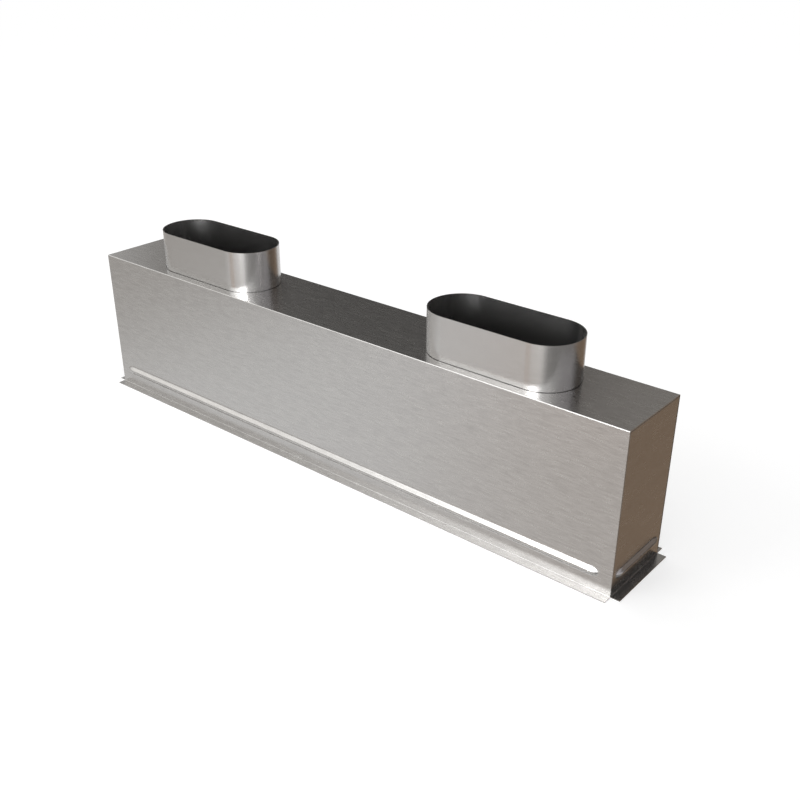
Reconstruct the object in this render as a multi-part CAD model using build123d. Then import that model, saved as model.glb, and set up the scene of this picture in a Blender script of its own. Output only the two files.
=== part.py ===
"""Insulated supply plenum: a long folded-sheet box, open below, fed by two flat-oval collars.

A wrapper folded from one sheet makes the front wall, the top and the back wall. An end cap closes
each end, with tabs folded inwards and welded to the inside of the wrapper. All four walls have a
flange turned outwards along the open bottom, which bears on the ceiling or wall lining, and a
stiffening bead pressed outwards just above it, where the grille's clips snap in. The two collars
pass up through the top on a turned flange that seats against its underside. Boards of duct liner
cover the walls and the top from the inside, and stop above the bead.

Millimetres. +X runs along the box, +Y to the back, +Z up. The origin is on the floor, under the
middle of the box, and the part stands on its bottom flanges.
"""

import os
from math import asin, atan2, cos, hypot, sin, tan

from build123d import *

# Box, over the outer faces of its sheet
box_length = 1200.0
box_width = 154.0
box_height = 286.0
sheet = 1.2

# Folds: each radius is the one on the hollow side of the bend
top_bend_radius = 0.4
flange_bend_radius = 0.8
tab_bend_radius = 0.8

# Bottom flange, from the wall's outer face to its edge
flange_reach = 16.0

# Stiffening bead, pressed outwards: a round crest between straight flanks, blended into the wall.
# Its width is taken where the flanks' lines meet the wall's outer face. Towards its ends the crest
# runs out of the wall on an arc.
bead_centre_height = 35.0
bead_width = 16.0
bead_depth = 6.0
bead_crest_radius = 4.5
bead_foot_radius = 5.5
bead_run_out_radius = 27.0
wrapper_bead_margin = 23.0
end_bead_margin = 10.0

# Tabs of the end caps, and the room for a weld between two sheets
tab_reach = 12.0
weld_gap = 0.1

# Flat-oval collars. The bend at the foot is drawn as a bevel on the bore's lower edge.
collar_length = 276.0
collar_width = 118.0
collar_rise = 76.0
collar_end_margin = 130.0
collar_sheet = 1.2
collar_flange_reach = 8.0
collar_foot_bevel = 1.5
cutout_gap = 1.5

# Duct liner
liner_thickness = 13.0
liner_lower_edge = 50.0
liner_gap = 0.3

# Places that several pieces share
wrapper_inner_y = box_width / 2 - sheet
cap_outer_y = wrapper_inner_y - weld_gap
cap_inner_x = box_length / 2 - sheet
cap_top = box_height - sheet - weld_gap
crest_drop = bead_depth - bead_crest_radius
flank_angle = atan2(crest_drop, bead_width / 2)
flank_angle += asin(bead_crest_radius / hypot(crest_drop, bead_width / 2))
run_out_sunk = bead_run_out_radius - bead_depth
run_out_length = (bead_run_out_radius**2 - run_out_sunk**2) ** 0.5
collar_centre_x = box_length / 2 - collar_end_margin - collar_length / 2
collar_flange_top = box_height - sheet - weld_gap
liner_end_face = cap_inner_x - liner_thickness
liner_top_face = box_height - sheet
liner_under_top = liner_top_face - liner_thickness


def folded_strip(outer, inner, outer_radii, inner_radii):
    """The section of a folded sheet, between the lines that its two faces follow."""
    face_line = FilletPolyline(*outer, radius=outer_radii)
    back_line = FilletPolyline(*inner, radius=inner_radii)
    ends = [Line(outer[i], inner[i]) for i in (0, -1)]
    return make_face([*face_line.edges(), *back_line.edges(), *ends])


def stadium(length, width):
    """A flat oval: two straight sides joined by half circles."""
    return SlotOverall(length, width)


def bead_bar(straight, inset):
    """A bar with the bead's section along X, running out at both ends, sunk by inset all over."""
    radius = bead_crest_radius - inset
    centre_y = bead_depth - bead_crest_radius
    side_y = centre_y + radius * cos(flank_angle)
    side_z = radius * sin(flank_angle)
    low_y = -2 * sheet
    low_z = side_z + (side_y - low_y) / tan(flank_angle)
    crest = ThreePointArc((side_y, -side_z), (centre_y + radius, 0), (side_y, side_z))
    rest = Polyline((side_y, side_z), (low_y, low_z), (low_y, -low_z), (side_y, -side_z))
    section = Plane.YZ * make_face([*crest.edges(), *rest.edges()])
    bar = extrude(section, straight / 2, both=True)
    for side in (-1, 1):
        end_x = side * straight / 2
        axis = Axis((end_x, -run_out_sunk, 0), (0, 0, 1))
        bar += revolve(Pos(end_x, 0, 0) * section, axis, -side * 60)
    return bar


def bead_edges(body, face_y):
    """The closed run of edges round the bead on the wall face at face_y."""
    half = bead_width / 2 + bead_foot_radius
    flat = body.edges().filter_by_position(Axis.Y, face_y - 0.01, face_y + 0.01)
    near = flat.filter_by_position(Axis.Z, -half, half)
    longest = box_length / 2 - end_bead_margin / 2
    return near.filter_by_position(Axis.X, -longest, longest)


def press_bead(wall, place, length):
    """Presses a bead out of a wall. place puts +Y along the wall's outward normal."""
    straight = length - 2 * run_out_length
    outside = Pos(0, bead_depth / 2 - sheet / 2, 0)
    outside *= Box(length + 2 * sheet, bead_depth + sheet, 2 * bead_width)
    ridge = bead_bar(straight, 0) & outside
    body = place.inverse() * wall + ridge - bead_bar(straight, sheet)
    body = fillet(bead_edges(body, 0), bead_foot_radius)
    body = fillet(bead_edges(body, -sheet), bead_foot_radius + sheet)
    return place * body


def wrapper():
    """Front wall, top and back wall, with both long flanges, their beads and the cut-outs."""
    half = box_width / 2
    tip = half + flange_reach
    outer = [(-tip, sheet), (-half, sheet), (-half, box_height)]
    outer += [(-y, z) for y, z in reversed(outer)]
    inner_y = wrapper_inner_y
    inner = [(-tip, 0), (-inner_y, 0), (-inner_y, box_height - sheet)]
    inner += [(-y, z) for y, z in reversed(inner)]
    outer_radii = [flange_bend_radius, top_bend_radius + sheet]
    inner_radii = [flange_bend_radius + sheet, top_bend_radius]
    section = folded_strip(
        outer, inner, outer_radii + outer_radii[::-1], inner_radii + inner_radii[::-1]
    )
    body = extrude(Plane.YZ * section, box_length / 2, both=True)
    bead_length = box_length - 2 * wrapper_bead_margin
    for turn, y in ((180, -half), (0, half)):
        place = Pos(0, y, bead_centre_height) * Rot(0, 0, turn)
        body = press_bead(body, place, bead_length)
    hole = stadium(collar_length + 2 * cutout_gap, collar_width + 2 * cutout_gap)
    for side in (-1, 1):
        cutter = Pos(side * collar_centre_x, 0, box_height) * hole
        body -= extrude(cutter, 2 * sheet, both=True)
    return body


def end_cap():
    """The right-hand end cap: panel, bottom flange, bead and three tabs folded inwards."""
    face_x = box_length / 2
    tab_x = face_x - tab_reach
    fold = tab_bend_radius + sheet
    flat_y = cap_outer_y - fold
    tabs_low = sheet + flange_bend_radius + fold
    tabs_high = cap_top - fold

    outer = [(face_x + flange_reach, sheet), (face_x, sheet), (face_x, tabs_low)]
    inner = [(face_x + flange_reach, 0), (cap_inner_x, 0), (cap_inner_x, tabs_low)]
    foot = folded_strip(outer, inner, flange_bend_radius, flange_bend_radius + sheet)

    outer = [(face_x, tabs_low), (face_x, cap_top), (tab_x, cap_top)]
    inner = [(cap_inner_x, tabs_low), (cap_inner_x, cap_top - sheet), (tab_x, cap_top - sheet)]
    panel = folded_strip(outer, inner, fold, tab_bend_radius)

    tab_y = cap_outer_y
    outer = [(tab_x, -tab_y), (face_x, -tab_y), (face_x, tab_y), (tab_x, tab_y)]
    tab_y -= sheet
    inner = [(tab_x, -tab_y), (cap_inner_x, -tab_y), (cap_inner_x, tab_y), (tab_x, tab_y)]
    sides = folded_strip(outer, inner, fold, tab_bend_radius)

    body = extrude(Plane.XZ * foot, cap_outer_y, both=True)
    body += extrude(Plane.XZ * panel, flat_y, both=True)
    body += extrude(Pos(0, 0, tabs_low) * sides, tabs_high - tabs_low)
    place = Pos(face_x, 0, bead_centre_height) * Rot(0, 0, -90)
    return press_bead(body, place, box_width - 2 * end_bead_margin)


def collar():
    """One flat-oval collar, about the origin: its tube, and the flange turned out at its foot."""
    tube = stadium(collar_length, collar_width)
    bore = stadium(collar_length - 2 * collar_sheet, collar_width - 2 * collar_sheet)
    rim = stadium(collar_length + 2 * collar_flange_reach, collar_width + 2 * collar_flange_reach)
    foot = collar_flange_top - collar_sheet
    body = extrude(Pos(0, 0, foot) * tube, box_height + collar_rise - foot)
    body += extrude(Pos(0, 0, foot) * rim, collar_sheet)
    body -= extrude(Pos(0, 0, foot) * bore, box_height + collar_rise - foot)
    underside = body.faces().filter_by(Plane.XY).sort_by(Axis.Z)[0]
    return chamfer(underside.inner_wires()[0].edges(), collar_foot_bevel)


def top_board():
    """The liner board under the top, cut out for both collars and relieved over their flanges."""
    corner = top_bend_radius + liner_gap
    length = 2 * (liner_end_face - liner_gap)
    half = wrapper_inner_y
    section = Polyline(
        (-half, liner_under_top),
        (-half, liner_top_face - corner),
        (corner - half, liner_top_face),
        (half - corner, liner_top_face),
        (half, liner_top_face - corner),
        (half, liner_under_top),
        close=True,
    )
    body = extrude(Plane.YZ * make_face(section), length / 2, both=True)
    bore = stadium(collar_length, collar_width)
    relief_reach = 2 * (collar_flange_reach + liner_gap)
    relief = stadium(collar_length + relief_reach, collar_width + relief_reach)
    relief_depth = collar_sheet + weld_gap + liner_gap
    for side in (-1, 1):
        centre = Pos(side * collar_centre_x, 0, liner_top_face)
        body -= extrude(centre * bore, -liner_thickness)
        body -= extrude(centre * relief, -relief_depth)
    return body


def side_board():
    """The liner board on the back wall."""
    length = 2 * (liner_end_face - liner_gap)
    height = liner_under_top - liner_gap - liner_lower_edge
    centre_y = wrapper_inner_y - liner_thickness / 2
    return Pos(0, centre_y, liner_lower_edge + height / 2) * Box(length, liner_thickness, height)


def end_board():
    """The liner board on the right-hand end cap, clear of the bends of its tabs."""
    clearance = tab_bend_radius + liner_gap
    width = 2 * (cap_outer_y - sheet - clearance)
    height = cap_top - sheet - clearance - liner_lower_edge
    centre_x = cap_inner_x - liner_thickness / 2
    return Pos(centre_x, 0, liner_lower_edge + height / 2) * Box(liner_thickness, width, height)


def main():
    right_cap = end_cap()
    back_board = side_board()
    right_board = end_board()
    oval = collar()
    parts = {
        "wrapper": wrapper(),
        "end_cap_left": mirror(right_cap, Plane.YZ),
        "end_cap_right": right_cap,
        "collar_left": Pos(-collar_centre_x, 0, 0) * oval,
        "collar_right": Pos(collar_centre_x, 0, 0) * oval,
        "liner_top": top_board(),
        "liner_front": mirror(back_board, Plane.XZ),
        "liner_back": back_board,
        "liner_left": mirror(right_board, Plane.YZ),
        "liner_right": right_board,
    }
    os.makedirs("parts", exist_ok=True)
    for node, shape in parts.items():
        export_step(shape, f"parts/{node}.step")


main()
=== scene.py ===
"""Looks of the insulated supply plenum: brushed steel sheet, a black duct liner, a white studio."""

import math

import bpy
from mathutils import Matrix, Vector

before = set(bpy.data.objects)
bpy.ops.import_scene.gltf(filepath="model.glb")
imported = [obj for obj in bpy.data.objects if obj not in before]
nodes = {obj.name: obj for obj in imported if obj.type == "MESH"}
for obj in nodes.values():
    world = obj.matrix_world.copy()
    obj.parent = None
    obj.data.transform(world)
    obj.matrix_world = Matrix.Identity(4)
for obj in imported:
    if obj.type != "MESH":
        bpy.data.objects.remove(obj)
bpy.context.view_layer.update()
scene = bpy.context.scene
scene.view_settings.view_transform = "Standard"

WHITE = (1.0, 1.0, 1.0, 1.0)


# Shader helpers

def new_material(name):
    material = bpy.data.materials.new(name)
    material.use_nodes = True
    return material, material.node_tree.nodes, material.node_tree.links


def map_range(tree, value, low, high, to_low, to_high, soft=False):
    node = tree.nodes.new("ShaderNodeMapRange")
    if soft:
        node.interpolation_type = "SMOOTHSTEP"
    node.inputs["From Min"].default_value = low
    node.inputs["From Max"].default_value = high
    node.inputs["To Min"].default_value = to_low
    node.inputs["To Max"].default_value = to_high
    tree.links.new(value, node.inputs["Value"])
    return node.outputs["Result"]


def math_node(tree, operation, first, second):
    """first is an output, and second is an output or a number."""
    node = tree.nodes.new("ShaderNodeMath")
    node.operation = operation
    tree.links.new(first, node.inputs[0])
    if isinstance(second, (int, float)):
        node.inputs[1].default_value = second
    else:
        tree.links.new(second, node.inputs[1])
    return node.outputs[0]


def mix_color(tree, factor, dark, light):
    """The colour dark where factor is 0, and light where it is 1."""
    node = tree.nodes.new("ShaderNodeMix")
    node.data_type = "RGBA"
    # A colour mix has its factor on input 0, its colours on 6 and 7, and its result on output 2
    tree.links.new(factor, node.inputs[0])
    node.inputs[6].default_value = (*dark, 1)
    node.inputs[7].default_value = (*light, 1)
    return node.outputs[2]


def noise(tree, vector, cells, detail, roughness):
    """Noise with so many cells to the metre along each axis."""
    mapping = tree.nodes.new("ShaderNodeMapping")
    mapping.inputs["Scale"].default_value = cells
    tree.links.new(vector, mapping.inputs["Vector"])
    node = tree.nodes.new("ShaderNodeTexNoise")
    node.inputs["Scale"].default_value = 1.0
    node.inputs["Detail"].default_value = detail
    node.inputs["Roughness"].default_value = roughness
    tree.links.new(mapping.outputs["Vector"], node.inputs["Vector"])
    return node.outputs["Fac"]


def add_bump(tree, shader, height, strength, depth):
    """Relief from height, with its full depth in metres."""
    bump = tree.nodes.new("ShaderNodeBump")
    bump.inputs["Strength"].default_value = strength
    bump.inputs["Distance"].default_value = depth
    tree.links.new(height, bump.inputs["Height"])
    tree.links.new(bump.outputs["Normal"], shader.inputs["Normal"])


# Steel sheet

# Cells are to the metre, and reaches and depths in metres
STEEL = (0.460, 0.453, 0.444)
STEEL_ROUGHNESS = 0.26
ROUGHNESS_SWING = 0.2
# The noise that makes the streaks lies mostly between these two values
STREAK_LOW = 0.3
STREAK_HIGH = 0.7
BROAD_SHARE = 0.85
BRUSHING_DEPTH = 0.00002
WANDER_CELLS = 22.0
WANDER_REACH = 0.006


def wandering(tree, place):
    """place, shifted a little by a slow noise, so that the brushing strays from its line."""
    wander = tree.nodes.new("ShaderNodeTexNoise")
    wander.inputs["Scale"].default_value = WANDER_CELLS
    wander.inputs["Detail"].default_value = 1.0
    tree.links.new(place, wander.inputs["Vector"])
    bend = tree.nodes.new("ShaderNodeVectorMath")
    bend.operation = "MULTIPLY_ADD"
    bend.inputs[1].default_value = (WANDER_REACH, WANDER_REACH, WANDER_REACH)
    tree.links.new(wander.outputs["Color"], bend.inputs[0])
    tree.links.new(place, bend.inputs[2])
    return bend.outputs["Vector"]


def steel(name, broad_cells, fine_cells, contrast, relief):
    """Brushed steel sheet. Its streaks come from broad and fine cells to the metre along each
    axis. contrast is how far they take the colour up and down, and relief is how much they show
    in the bump and in the roughness."""
    material, items, links = new_material(name)
    tree = material.node_tree
    shader = items["Principled BSDF"]
    shader.inputs["Metallic"].default_value = 1.0
    place = wandering(tree, items.new("ShaderNodeTexCoord").outputs["Object"])
    broad = noise(tree, place, broad_cells, detail=2.5, roughness=0.55)
    fine = noise(tree, place, fine_cells, detail=1.0, roughness=0.5)
    broad_part = math_node(tree, "MULTIPLY", broad, BROAD_SHARE)
    fine_part = math_node(tree, "MULTIPLY", fine, 1 - BROAD_SHARE)
    streak = math_node(tree, "ADD", broad_part, fine_part)

    dark = tuple(c * (1 - contrast) for c in STEEL)
    light = tuple(c * (1 + contrast) for c in STEEL)
    tone = map_range(tree, streak, STREAK_LOW, STREAK_HIGH, 0.0, 1.0)
    links.new(mix_color(tree, tone, dark, light), shader.inputs["Base Color"])
    swing = ROUGHNESS_SWING * relief
    low, high = STEEL_ROUGHNESS - swing, STEEL_ROUGHNESS + swing
    roughness = map_range(tree, streak, STREAK_LOW, STREAK_HIGH, low, high)
    links.new(roughness, shader.inputs["Roughness"])
    add_bump(tree, shader, streak, relief, BRUSHING_DEPTH)
    return material


# Duct liner, a matt black mat of fine fibres

MAT_CELLS = 420
MAT_DARK = (0.020, 0.020, 0.021)
MAT_LIGHT = (0.046, 0.046, 0.048)
MAT_DEPTH = 0.0004


def liner_facing(name):
    material, items, links = new_material(name)
    tree = material.node_tree
    shader = items["Principled BSDF"]
    shader.inputs["Roughness"].default_value = 0.9
    place = items.new("ShaderNodeTexCoord").outputs["Object"]
    mat = noise(tree, place, (MAT_CELLS, MAT_CELLS, MAT_CELLS), detail=4.0, roughness=0.7)
    links.new(mix_color(tree, mat, MAT_DARK, MAT_LIGHT), shader.inputs["Base Color"])
    add_bump(tree, shader, mat, strength=0.5, depth=MAT_DEPTH)
    return material


# Finish of each node

# The brushing runs along the box on the wrapper, across it on the end caps and round the collars
wrapper_steel = steel("steel_along", (38, 300, 300), (90, 600, 600), 0.08, 0.1)
cap_steel = steel("steel_across", (120, 26, 120), (320, 60, 320), 0.05, 0.1)
collar_steel = steel("steel_collar", (40, 40, 300), (90, 90, 600), 0.02, 0.05)
liner = liner_facing("liner_facing")


def finish_node(name, material):
    thing = nodes[name]
    thing.data.materials.clear()
    thing.data.materials.append(material)


finish_node("wrapper", wrapper_steel)
for side in ("left", "right"):
    finish_node(f"end_cap_{side}", cap_steel)
    finish_node(f"collar_{side}", collar_steel)
for name in ("top", "front", "back", "left", "right"):
    finish_node(f"liner_{name}", liner)


# White studio

# The world and the floor show white to the camera. The steel sees the same white room, with soft
# dark and bright cards round it that only reflections see. Sizes are in metres.
WORLD_LEVEL = 0.78
FLOOR_COLOR = (0.8, 0.8, 0.8, 1)
FLOOR_GLOW = 0.375
FLOOR_SIZE = 60
FLOOR_DROP = 0.0003
# The mouth shade is painted shade: a dark, faintly glowing plate where the floor under the box lies
# in shadow.
SHADE_SIZE = (1.19, 0.15)
SHADE_DROP = 0.001
SHADE_COLOR = (0.02, 0.02, 0.02, 1)
SHADE_GLOW = 0.05


def seen_directly_or_reflected(tree):
    """1 for camera, glossy and transmission rays."""
    path = tree.nodes.new("ShaderNodeLightPath").outputs
    seen = math_node(tree, "MAXIMUM", path["Is Camera Ray"], path["Is Glossy Ray"])
    return math_node(tree, "MAXIMUM", seen, path["Is Transmission Ray"])


def light_world():
    """A white room. Diffuse surfaces get a little less of its light."""
    world = bpy.data.worlds.new("studio")
    scene.world = world
    world.use_nodes = True
    tree = world.node_tree
    background = tree.nodes["Background"]
    background.inputs["Color"].default_value = WHITE
    strength = map_range(tree, seen_directly_or_reflected(tree), 0, 1, WORLD_LEVEL, 1.0)
    tree.links.new(strength, background.inputs["Strength"])


def stage_plane(name, size, location):
    """A square plane that isn't part of the object."""
    bpy.ops.mesh.primitive_plane_add(size=size, location=location)
    plane = bpy.context.object
    plane.name = name
    return plane


def show_in_reflections_only(thing):
    for ray in ("camera", "diffuse", "shadow", "transmission", "volume_scatter"):
        setattr(thing, f"visible_{ray}", False)


def lay_floor():
    """A pale floor, a hair below the flanges. Its glow for the camera alone makes it white outside
    the object's shadow."""
    floor = stage_plane("floor", FLOOR_SIZE, (0, 0, -FLOOR_DROP))
    material, items, links = new_material("floor_white")
    shader = items["Principled BSDF"]
    shader.inputs["Base Color"].default_value = FLOOR_COLOR
    shader.inputs["Roughness"].default_value = 1.0
    shader.inputs["Specular IOR Level"].default_value = 0.0
    shader.inputs["Emission Color"].default_value = WHITE
    path = items.new("ShaderNodeLightPath").outputs
    glow = map_range(material.node_tree, path["Is Camera Ray"], 0, 1, 0.0, FLOOR_GLOW)
    links.new(glow, shader.inputs["Emission Strength"])
    floor.data.materials.append(material)
    floor.visible_glossy = False


def shade_mouth():
    """A dark plate under the open box, painted shade with a faint glow for its shaded floor:
    reflections look through the floor, and see this there.
    """
    shade = stage_plane("mouth_shade", 1, (0, 0, -SHADE_DROP))
    shade.scale = (*SHADE_SIZE, 1)
    material, items, _ = new_material("mouth_shade")
    shader = items["Principled BSDF"]
    shader.inputs["Base Color"].default_value = SHADE_COLOR
    shader.inputs["Emission Color"].default_value = WHITE
    shader.inputs["Emission Strength"].default_value = SHADE_GLOW
    shade.data.materials.append(material)
    show_in_reflections_only(shade)


def softbox(name, position, target, size, radiance):
    """A soft lamp that only lights. Its power is what gives its face that radiance."""
    light = bpy.data.lights.new(name, "AREA")
    light.shape = "RECTANGLE"
    light.size, light.size_y = size
    light.energy = radiance * math.pi * size[0] * size[1]
    lamp = bpy.data.objects.new(name, light)
    scene.collection.objects.link(lamp)
    lamp.location = position
    lamp.rotation_euler = (Vector(target) - Vector(position)).to_track_quat("-Z", "Y").to_euler()
    lamp.visible_camera = False
    lamp.visible_glossy = False


def soft_oval(tree, core):
    """A mask on a card: 1 within the core share of its reach, falling softly to 0 at its rim."""
    place = tree.nodes.new("ShaderNodeTexCoord").outputs["Object"]
    length = tree.nodes.new("ShaderNodeVectorMath")
    length.operation = "LENGTH"
    tree.links.new(place, length.inputs[0])
    return map_range(tree, length.outputs["Value"], core, 1.0, 1.0, 0.0, soft=True)


def card(name, azimuth, height, distance, spread, core, color, sampled=False):
    """A soft oval card that only reflections see. It faces the object from azimuth and height, in
    degrees, and spread is half its width and half its height, in degrees as the object sees it.
    The brightest ones are sampled as lamps, which keeps their reflections free of specks."""
    across, up = math.radians(azimuth), math.radians(height)
    aim = Vector((math.cos(across) * math.cos(up), math.sin(across) * math.cos(up), math.sin(up)))
    flag = stage_plane(name, 2, aim * distance)
    flag.rotation_euler = aim.to_track_quat("Z", "Y").to_euler()
    flag.scale = (*(distance * math.tan(math.radians(s)) for s in spread), 1)
    material, items, links = new_material(name)
    items.remove(items["Principled BSDF"])
    glow = items.new("ShaderNodeEmission")
    glow.inputs["Color"].default_value = (*color, 1)
    edge = items.new("ShaderNodeMixShader")
    links.new(soft_oval(material.node_tree, core), edge.inputs[0])
    links.new(items.new("ShaderNodeBsdfTransparent").outputs[0], edge.inputs[1])
    links.new(glow.outputs[0], edge.inputs[2])
    links.new(edge.outputs[0], items["Material Output"].inputs["Surface"])
    material.cycles.emission_sampling = "FRONT_BACK" if sampled else "NONE"
    flag.data.materials.append(material)
    show_in_reflections_only(flag)


light_world()
lay_floor()
softbox("key", (-1.2, -2.4, 2.2), target=(0, 0, 0.1), size=(1.6, 1.2), radiance=3.0)

# Bright scrims over the front, dark flags behind, and the ground that the upright sheet mirrors
card("scrim_left", 205, 31, 9.6, (38, 26), 0.2, (1.47, 1.44, 1.40))
card("scrim_front", 262, 35, 9.4, (35, 32), 0.2, (4.5, 4.5, 4.5), sampled=True)
card("scrim_overhead", 200, 61, 9.2, (27, 17), 0.3, (3.6, 3.6, 3.6), sampled=True)
card("scrim_right", 311, 22, 9.1, (20, 18), 0.3, (1.75, 1.75, 1.78))
card("scrim_core", 278, 17, 9.0, (21, 15), 0.3, (6.5, 6.6, 6.8), sampled=True)
card("scrim_low", 293, -4, 8.9, (18, 15), 0.45, (2.0, 2.0, 2.0))
card("scrim_slot", 283, 22, 1.85, (13, 13), 0.3, (31.0, 31.2, 31.6), sampled=True)
card("flag_right", 15, 18, 8.6, (40, 32), 0.6, (0.72, 0.70, 0.73))
card("flag_rear", 68, 16, 8.4, (48, 30), 0.6, (0.22, 0.21, 0.205))
card("flag_end", 58, 41, 8.0, (32, 30), 0.6, (0.03, 0.03, 0.03))
card("flag_end_low", 56, 14, 7.9, (26, 15), 0.5, (0.30, 0.245, 0.21))
card("flag_back", 122, 24, 8.2, (35, 32), 0.5, (0.30, 0.28, 0.26))
card("flag_back_core", 129, 22, 8.0, (20, 22), 0.35, (0.08, 0.077, 0.074))
card("ground_left", 197, -11, 7.6, (52, 15), 0.4, (0.60, 0.57, 0.54))
card("ground_far_front", 238, -4, 7.5, (28, 14), 0.45, (0.62, 0.59, 0.56))
card("ground_front", 270, -33, 7.4, (36, 22), 0.5, (0.74, 0.69, 0.65))
card("ground_brown", 250, -18, 7.3, (12, 8), 0.2, (0.72, 0.53, 0.42))
card("ground_right", 345, -34, 7.2, (57, 34), 0.5, (0.235, 0.226, 0.218))
card("ground_end", 58, -28, 7.0, (38, 27), 0.6, (0.295, 0.213, 0.15))
card("ground_far_end", 50, -5, 6.8, (27, 13), 0.5, (0.02, 0.018, 0.016))
shade_mouth()


# Camera, fitted to the photograph

# Lengths on the picture are in pixels, the place in metres, the angles in degrees and the sensor's
# width in millimetres. The heading turns from +X to +Y, and the camera looks down by its tilt.
PICTURE_SIDE = 800
FOCAL_LENGTH = 1007.72
OPTICAL_CENTRE = (394.01, 423.25)
CAMERA_PLACE = (1.14316, -1.22592, 0.94554)
CAMERA_HEADING = 130.198
CAMERA_TILT = 27.737
CAMERA_ROLL = -0.069
SENSOR_WIDTH = 36.0


def turned(degrees, axis):
    return Matrix.Rotation(math.radians(degrees), 4, axis)


camera_data = bpy.data.cameras.new("camera")
camera = bpy.data.objects.new("camera", camera_data)
scene.collection.objects.link(camera)
scene.camera = camera
camera_data.sensor_width = SENSOR_WIDTH
camera_data.lens = SENSOR_WIDTH * FOCAL_LENGTH / PICTURE_SIDE
camera_data.shift_x = (PICTURE_SIDE / 2 - OPTICAL_CENTRE[0]) / PICTURE_SIDE
camera_data.shift_y = (OPTICAL_CENTRE[1] - PICTURE_SIDE / 2) / PICTURE_SIDE
camera_data.clip_start = 0.05
turn = turned(CAMERA_HEADING - 90, "Z") @ turned(90 - CAMERA_TILT, "X") @ turned(CAMERA_ROLL, "Z")
camera.matrix_world = Matrix.Translation(CAMERA_PLACE) @ turn
